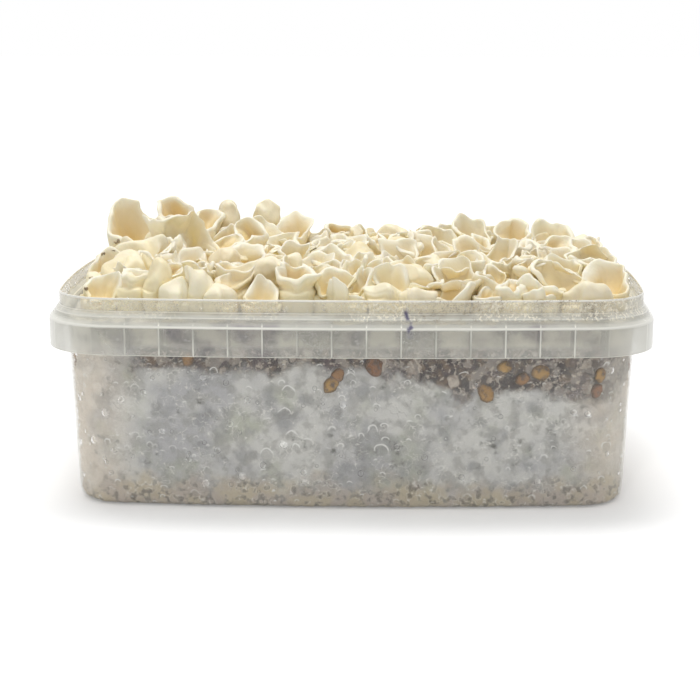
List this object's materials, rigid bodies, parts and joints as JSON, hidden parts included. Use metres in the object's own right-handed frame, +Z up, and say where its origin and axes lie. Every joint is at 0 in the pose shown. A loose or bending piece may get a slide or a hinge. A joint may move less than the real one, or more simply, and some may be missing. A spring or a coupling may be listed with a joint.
{
  "type": "mushroom grow kit",
  "caption": "Milky plastic food tub filled with grown-together grain, topped by packed, ruffled cream mushroom caps with a taller clump at one corner.",
  "frame": {"origin": "middle of the tub's base, on the surface it stands on", "axes": "+X along the tub's length, +Y away from the pictured front, +Z up"},
  "size_m": [0.187, 0.1352, 0.0852],
  "materials": {
    "tub": "milky see-through polypropylene, smooth and slightly glossy",
    "substrate": "grain and crumbs bound by white mycelium, matt",
    "mushroom": "soft cream flesh, smooth and matt"
  },
  "bodies": {
    "root": {"tub": "tub", "substrate": "substrate", "fruit_01": "mushroom", "fruit_02": "mushroom", "fruit_03": "mushroom", "fruit_04": "mushroom", "fruit_05": "mushroom", "fruit_06": "mushroom", "fruit_07": "mushroom", "fruit_08": "mushroom", "fruit_09": "mushroom", "fruit_10": "mushroom", "fruit_11": "mushroom", "fruit_12": "mushroom", "fruit_13": "mushroom", "fruit_14": "mushroom", "fruit_15": "mushroom", "fruit_16": "mushroom", "fruit_17": "mushroom", "fruit_18": "mushroom", "fruit_19": "mushroom", "fruit_20": "mushroom", "fruit_21": "mushroom", "fruit_22": "mushroom", "fruit_23": "mushroom", "fruit_24": "mushroom", "fruit_25": "mushroom", "fruit_26": "mushroom", "fruit_27": "mushroom", "fruit_28": "mushroom", "fruit_29": "mushroom", "fruit_30": "mushroom", "fruit_31": "mushroom", "fruit_32": "mushroom", "fruit_33": "mushroom", "fruit_34": "mushroom", "fruit_35": "mushroom", "fruit_36": "mushroom", "fruit_37": "mushroom", "fruit_38": "mushroom", "fruit_39": "mushroom", "fruit_40": "mushroom", "fruit_41": "mushroom", "fruit_42": "mushroom", "fruit_43": "mushroom", "fruit_44": "mushroom", "fruit_45": "mushroom", "fruit_46": "mushroom", "fruit_47": "mushroom", "fruit_48": "mushroom", "fruit_49": "mushroom", "fruit_50": "mushroom", "fruit_51": "mushroom"}
  },
  "joints": []
}
